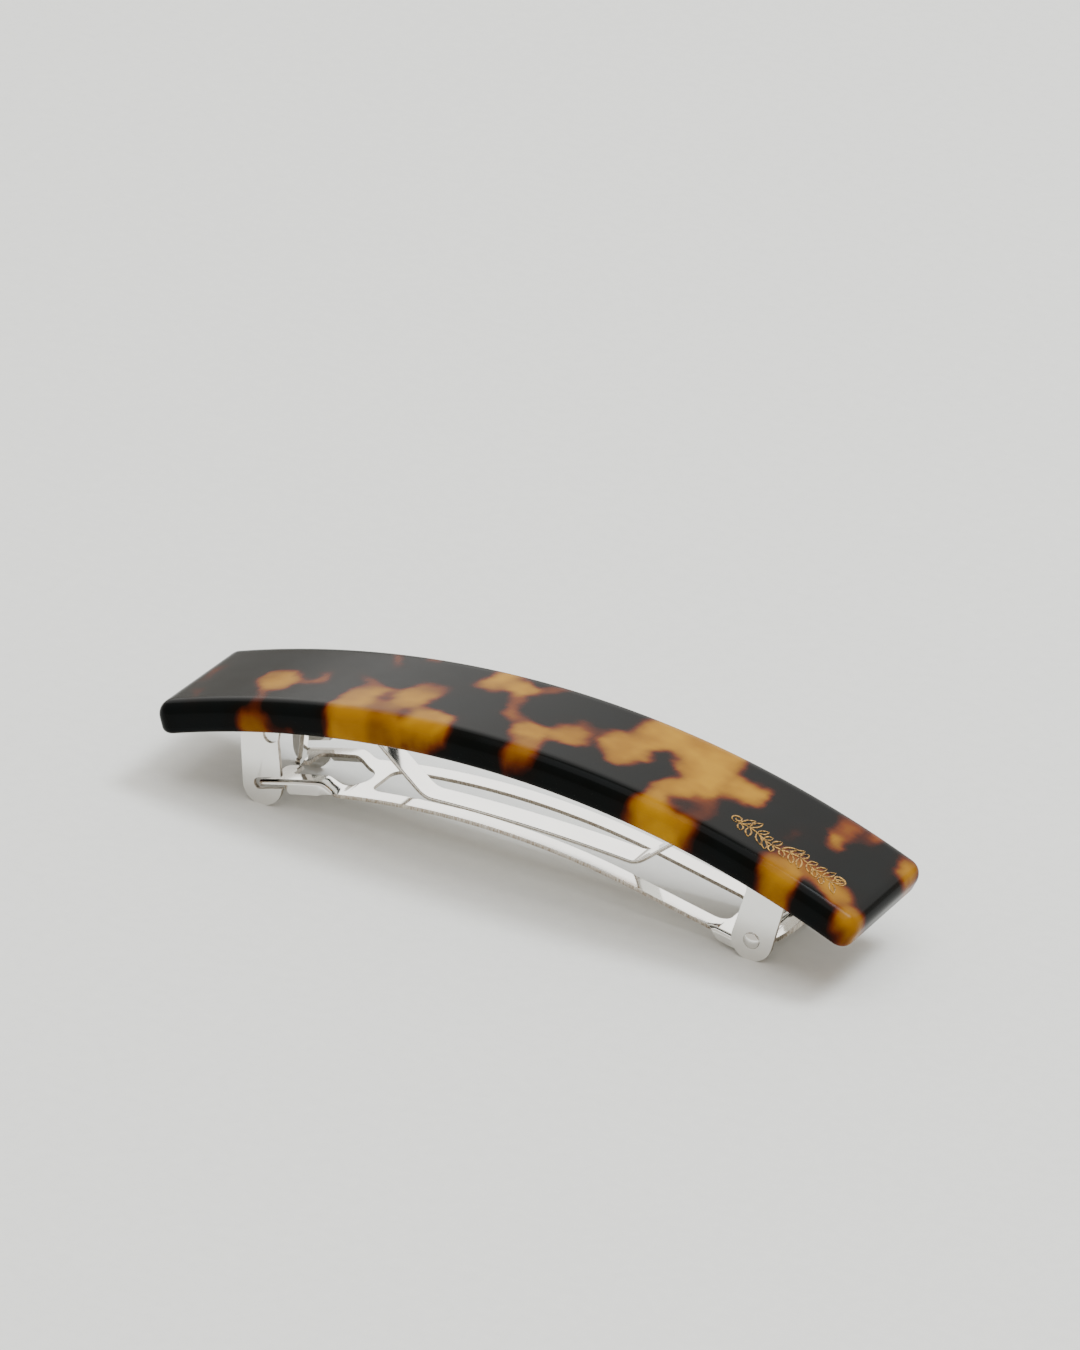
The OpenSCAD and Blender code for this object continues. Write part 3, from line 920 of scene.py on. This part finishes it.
# %% The clasp
seam_x = root_x + 0.7   # where the fingers' pieces carry on from the rails
skirt_start = pin_x - 5.2
skirt_end = pin_x - 1.7
skirt_r = 0.45
skirt_h = 1.1
skirt_out = unfolded(arm_half, skirt_r, skirt_h)
keyhole_x = root_x - 1.8
window_start = keyhole_x + rail_in + 1.2
window_end = pin_x - 3.9
wide_end = web_x + curl_len + 0.5
tail_end = web_x + curl_len + tail_len
tail_half = 3.2


def skirt_share(along):
    return ease((along - skirt_start) / 1.1)


def arm_edge():
    """The +Y edge of the clasp's blank, from the seam to the tail's tip."""
    edge = [(seam_x, arm_half), (skirt_start, arm_half), (skirt_start + 0.5, arm_half + 0.1)]
    edge += [(skirt_start + 1.2, skirt_out - 0.25), (skirt_start + 1.6, skirt_out)]
    edge += [(skirt_end - 0.2, skirt_out), (skirt_end, skirt_out - 0.2), (skirt_end, arm_half - 0.55)]
    edge += [(skirt_end + 0.25, arm_half - 0.55), (skirt_end + 0.25, arm_half)]
    edge += circle_points(wide_end - 0.8, arm_half - 0.8, 0.8, 90, 0, 6)
    edge += [(wide_end, tail_half + 0.3)]
    edge += circle_points(tail_end - 0.6, tail_half - 0.6, 0.6, 90, 0, 6)
    return edge


def keyhole(start, end, steps):
    return circle_points(keyhole_x, 0, rail_in, start, end, steps)


seam_turn = math.degrees(math.acos((seam_x - keyhole_x) / rail_in))


def window():
    r = 1.4
    corners = [(window_end - r, rail_in - r, 0), (window_start + r, rail_in - r, 90),
               (window_start + r, r - rail_in, 180), (window_end - r, r - rail_in, 270)]
    return [p for x, y, turn in corners for p in circle_points(x, y, r, turn, turn + 90, 6)]


arm_outline = arm_edge() + mirrored(arm_edge()) + keyhole(-seam_turn, seam_turn, 14)
arm_bend = Bend(arm_side, arm_t, fold_at=arm_half - skirt_r, fold_r=skirt_r, folded=skirt_share)


arm_flat = Bend(arm_side, arm_t)


def arm_place(along, across, depth):
    """The skirts fold; what runs on towards the tail stays flat."""
    if along > skirt_end + 0.1:
        return arm_flat(along, across, depth)
    return arm_bend(along, across, depth)


def at_seam(along, across):
    """Whether a place on the blank lies on the end that a finger carries on from."""
    return abs(along - seam_x) < 0.01


arm_place.thickness = arm_t
skirt_lines = [arm_half - skirt_r + skirt_r * math.pi / 2 * i / 4 for i in range(5)]
arm_slices = (spread(seam_x, bend_x, 1.0) + spread(bend_x, skirt_start, 1.5)
              + spread(skirt_start, skirt_start + 1.2, 0.2) + spread(web_x, web_x + curl_len, 0.12)
              + spread(web_x + curl_len, tail_end, 0.5))
arm_work = stamp(arm_outline, [window()], arm_slices[1:-1], skirt_lines + [-s for s in skirt_lines])
press(arm_work, arm_place, open_end=at_seam)
print("clasp blank", len(arm_outline), "points")

# %% [markdown]
# Two lugs stand up from the web beside the ears, and the pin runs through them. A lug is a flat tongue with
# a round end, so it is stamped standing and joined to the clasp's mesh.

# %% The clasp's lugs
lug_r = 1.5


def lug_place(side):
    """Stands a flat blank, drawn in X and Z, against the inside of an ear."""
    def place(x, z, depth):
        return Vector((x, side * (arm_half - depth), z))
    place.thickness = arm_t
    return place


foot_z = web_z - 0.2
lug_outline = circle_points(pin_x, pin_z, lug_r, -20, 200, 20) + [(pin_x - lug_r, foot_z),
                                                                 (pin_x + lug_r * 0.7, foot_z)]
lug_hole = circle_points(pin_x, pin_z, 0.65)


def add_to(work, other):
    """Moves the other mesh's faces into work."""
    spare = bpy.data.meshes.new("spare")
    other.to_mesh(spare)
    other.free()
    work.from_mesh(spare)
    bpy.data.meshes.remove(spare)


for side in (-1, 1):
    add_to(arm_work, press(stamp(lug_outline, [lug_hole], [], []), lug_place(side)))
clasp_stamping = make_piece("clasp_stamping", arm_work, [nickel, torn_edge])
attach(clasp_stamping, "clasp")
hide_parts("clasp_arm")

# %% [markdown]
# A catch finger is a narrow strip with an inward tab near its tip. Its outer edge is folded down: a wing
# where a fingertip squeezes it, and beyond that a lower lug, which springs into the ear's slot. Both
# fingers are one outline, mirrored. Each bends out of its rail.

# %% The catch fingers
finger_tip = catch_x - 0.7
tab_start = catch_x + 0.2
tab_w = 1.8
wing_start = catch_x + foot_r + 0.15
wing_end = root_x - 1.0
wing_h = 1.5
wing_out = unfolded(arm_half, skirt_r, wing_h)
lug_out = wing_out - 1.0    # the lug is lower, to fit the ear's slot


def finger_outline():
    """The +Y finger's blank, from the seam along its outer edge and back inside."""
    edge = [(seam_x, arm_half), (wing_end + 0.9, arm_half), (wing_end + 0.3, arm_half + 0.15)]
    edge += [(wing_end - 0.4, wing_out - 0.6), (wing_end - 1.2, wing_out)]
    edge += [(wing_start + 0.5, wing_out), (wing_start, wing_out - 0.5), (wing_start - 0.2, lug_out)]
    edge += [(finger_tip + 0.3, lug_out), (finger_tip, lug_out - 0.3), (finger_tip, arm_half - 0.45)]
    edge += [(tab_start - 0.2, arm_half - 0.5), (tab_start, arm_half - 0.7)]
    edge += [(tab_start, 0.9), (tab_start + 0.3, 0.6), (tab_start + tab_w, 0.6)]
    edge += [(tab_start + tab_w, rail_in - 0.3), (tab_start + tab_w + 0.3, rail_in)]
    edge += keyhole(90, seam_turn, 8)
    return edge


def wing_share(along):
    return ease((wing_end + 0.9 - along) / 0.9)


finger_bend = Bend(arm_side, arm_t, fold_at=arm_half - skirt_r, fold_r=skirt_r, folded=wing_share)
finger_slices = spread(tab_start + tab_w, root_x - step_run, 0.8) + spread(root_x - step_run, seam_x, 0.2)
for name, side, body, node in (("rear_finger_sheet", 1, "rear_finger", "rear_catch_finger"),
                               ("front_finger_sheet", -1, "front_finger", "front_catch_finger")):
    outline = finger_outline() if side > 0 else mirrored(finger_outline())
    work = stamp(outline, [], finger_slices[:-1], [side * s for s in skirt_lines])
    press(work, finger_bend, round_edge=0.06, upright=True, open_end=at_seam)
    finger = make_piece(name, work, [nickel, torn_edge])
    (root_x + 0.6) * MM
    root_z * MM
    (root_x - 0.6) * MM
    root_z * MM
    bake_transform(finger)
    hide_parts(node)

# %% [markdown]
# The tension bar is spring strip: two feet against the plate, two ramps, and a long low run that presses
# the hair up. Its side view is drawn with four sharp corners. Taking the mean over a short stretch rounds
# them all, which is enough for strip this thin, and needs no centre to be worked out.

# %% The tension bar
strip_t = 0.4
strip_foot = 2.4
strip_end = [stud_places[0] + 2.5, stud_places[1] - 2.5]
ramp_top = [strip_end[0] + strip_foot, strip_end[1] - strip_foot]
run_end = [ramp_top[0] + 8.0, ramp_top[1] - 6.4]
run_r = 197.0
run_crown = ((run_end[0] + run_end[1]) / 2 + 1.6, 4.66)
strip_half = [1.35, 1.75]
strip_plan_round = 0.5


def under_plate(x):
    return math.sqrt(under_r ** 2 - x * x) + bar_centre


def straight(x, a, b):
    """Height at x of the line through points a and b."""
    return a[1] + (b[1] - a[1]) * (x - a[0]) / (b[0] - a[0])


def run_z(x):
    return arc_height(x, run_r, *run_crown)


def strip_z(x):
    """The strip's upper face, with sharp corners."""
    if x < ramp_top[0] or x > ramp_top[1]:
        return under_plate(x)
    if x < run_end[0]:
        return straight(x, (ramp_top[0], under_plate(ramp_top[0])), (run_end[0], run_z(run_end[0])))
    if x > run_end[1]:
        return straight(x, (run_end[1], run_z(run_end[1])), (ramp_top[1], under_plate(ramp_top[1])))
    return run_z(x)


def strip_side(along):
    """The same with its corners rounded, as a mean over a short stretch."""
    reach, steps = 0.7, 12
    places = [along + reach * (2 * i / steps - 1) for i in range(steps + 1)]
    return along, min(sum(strip_z(x) for x in places) / len(places), under_plate(along))


strip_bend = Bend(strip_side, strip_t)


def strip_corner(end, half, start):
    sign = 1 if end > 0 else -1
    x, y = end - sign * strip_plan_round, half - strip_plan_round
    return circle_points(x, y, strip_plan_round, start, start - 90, 6)


strip_edge = strip_corner(strip_end[0], strip_half[0], 180) + strip_corner(strip_end[1], strip_half[1], 90)
strip_slices = spread(strip_end[0], strip_end[1], 0.4)[1:-1]
strip_work = press(stamp(strip_edge + mirrored(strip_edge), [], strip_slices, []), strip_bend)
spring_strip = make_piece("spring_strip", strip_work, [spring_nickel, torn_edge])
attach(spring_strip, "clip_base")
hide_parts("tension_bar")

# %% [markdown]
# Pins and rivets are turned work: a profile spun round an axis. The spin is written out ring by ring, so
# that it closes exactly, and the same function makes the hinge pin's domes and the studs' chamfered heads.

# %% The turned pieces
def turned(profile, origin, axis, steps=32):
    """Spins (radius, height) points round an axis; the profile starts and ends on it."""
    work = bmesh.new()
    frame_turn = Vector(axis).to_track_quat("Z", "Y").to_matrix()

    def place(radius, height, turn):
        out = Vector((radius * math.cos(turn), radius * math.sin(turn), height))
        return Vector(origin) + frame_turn @ out

    turns = [2 * math.pi * i / steps for i in range(steps)]
    rings = [[work.verts.new(place(r, h, t)) for t in turns] for r, h in profile[1:-1]]
    ends = [work.verts.new(place(0, profile[i][1], 0)) for i in (0, -1)]
    for i in range(steps):
        n = (i + 1) % steps
        work.faces.new((ends[0], rings[0][n], rings[0][i]))
        work.faces.new((ends[1], rings[-1][i], rings[-1][n]))
        for low, high in zip(rings, rings[1:]):
            work.faces.new((low[i], low[n], high[n], high[i]))
    return work


def dome(radius, height, base, up, steps=7):
    """Profile of a shallow dome from its foot to near its top."""
    ball = (radius * radius + height * height) / (2 * height)
    span = math.asin(radius / ball)
    turns = [span * (1 - i / steps) for i in range(steps)]
    return [(ball * math.sin(t), base + up * (height - ball * (1 - math.cos(t)))) for t in turns]


pin_half = ear_face + 0.02
pin_head_r = 0.88
dome_h = 0.38
upper_head = [(0.6, pin_half), (pin_head_r - 0.05, pin_half)] + dome(pin_head_r, dome_h, pin_half + 0.03, 1)
upper_head += [(0, pin_half + 0.03 + dome_h)]
pin_profile = [(r, -h) for r, h in reversed(upper_head)] + upper_head
hinge_rivet = make_piece("hinge_rivet", turned(pin_profile, (pin_x, 0, pin_z), (0, -1, 0)),
                         [rivet_nickel])
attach(hinge_rivet, "clip_base")
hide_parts("hinge_pin")

# %% [markdown]
# Two rivets through the plate hold the acetate. They can't be seen from the front, but a look from below
# shows them under the tension bar's ends. Their heads are chamfered, and they follow the plate's slope.

# %% The studs
stud_head_r = 1.5
stud_profile = [(0, -0.45), (stud_head_r - 0.35, -0.45), (stud_head_r - 0.05, -0.2), (stud_head_r, -0.12),
                (stud_head_r - 0.03, 0), (stud_r, 0), (stud_r, 2.3), (stud_r - 0.1, 2.4), (0, 2.4)]
stud_work = bmesh.new()
for x in stud_places:
    turn = math.asin(x / (bar_r - bar_t))
    square_up = Vector((math.sin(turn), 0, math.cos(turn)))
    origin = Vector((0, 0, bar_centre)) + under_r * square_up
    add_to(stud_work, turned(stud_profile, origin, square_up))
anchor_rivets = make_piece("anchor_rivets", stud_work, [rivet_nickel])
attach(anchor_rivets, "clip_base")
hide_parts("anchor_studs")

# %% [markdown]
# The floor is one pale sheet of paper, large enough to fill the view. A key panel behind and to the right
# throws the soft shadow forward and to the left, and a ceiling keeps it pale. Polished steel shows what
# stands round it, so a wide bright wall behind the barrette makes the clip's upper faces white. The room is
# dimmer and a little warm, which leaves darker accents where the metal turns towards the horizon.

# %% Floor and light
paper = Finish("pale_paper")
fibre = mottle(paper, 1.5, detail=4)
paper_tone = colours_along(fibre, (0.3, (0.76, 0.76, 0.735)), (0.7, (0.79, 0.79, 0.765)))
paper.set(Base_Color=paper_tone, Roughness=0.85, Normal=relief(paper, fibre, 0.02))
floor_work = bmesh.new()
floor_half = 4000
bmesh.ops.create_grid(floor_work, x_segments=8, y_segments=8, size=floor_half)
bmesh.ops.scale(floor_work, vec=(MM, MM, MM), verts=floor_work.verts)
floor_mesh = bpy.data.meshes.new("floor")
floor_work.to_mesh(floor_mesh)
floor_work.free()
floor_mesh.materials.append(paper.material)
floor = bpy.data.objects.new("floor", floor_mesh)
bpy.context.scene.collection.objects.link(floor)


def panel(name, place, width, height, power, tone):
    """A light panel that faces the bar; sizes in millimetres, power in watts."""
    lamp = bpy.data.lights.new(name, "AREA")
    lamp.shape = "RECTANGLE"
    lamp.size = width * MM
    lamp.size_y = height * MM
    lamp.energy = power
    lamp.color = tone
    holder = bpy.data.objects.new(name, lamp)
    holder.location = Vector(place) * MM
    holder.rotation_euler = (-holder.location).to_track_quat("-Z", "Y").to_euler()
    bpy.context.scene.collection.objects.link(holder)
    return holder


panel("key_panel", (380, 420, 1150), 420, 420, 13, (0.94, 1.0, 1.05))
panel("ceiling", (0, -200, 1500), 1200, 1200, 13, (0.96, 1.0, 1.03))
rear_wall = panel("rear_wall", (-500, 1400, 1020), 3600, 1500, 34, (1.0, 1.0, 0.99))
rear_wall.visible_diffuse = False   # it shows in gloss and metal, but lights no matt surface
room = bpy.data.worlds.new("pale_room")
bpy.context.scene.world = room
room.use_nodes = True
room.node_tree.nodes["Background"].inputs["Color"].default_value = (1.0, 0.95, 0.86, 1)
room.node_tree.nodes["Background"].inputs["Strength"].default_value = 0.94
print("three panels and a pale room")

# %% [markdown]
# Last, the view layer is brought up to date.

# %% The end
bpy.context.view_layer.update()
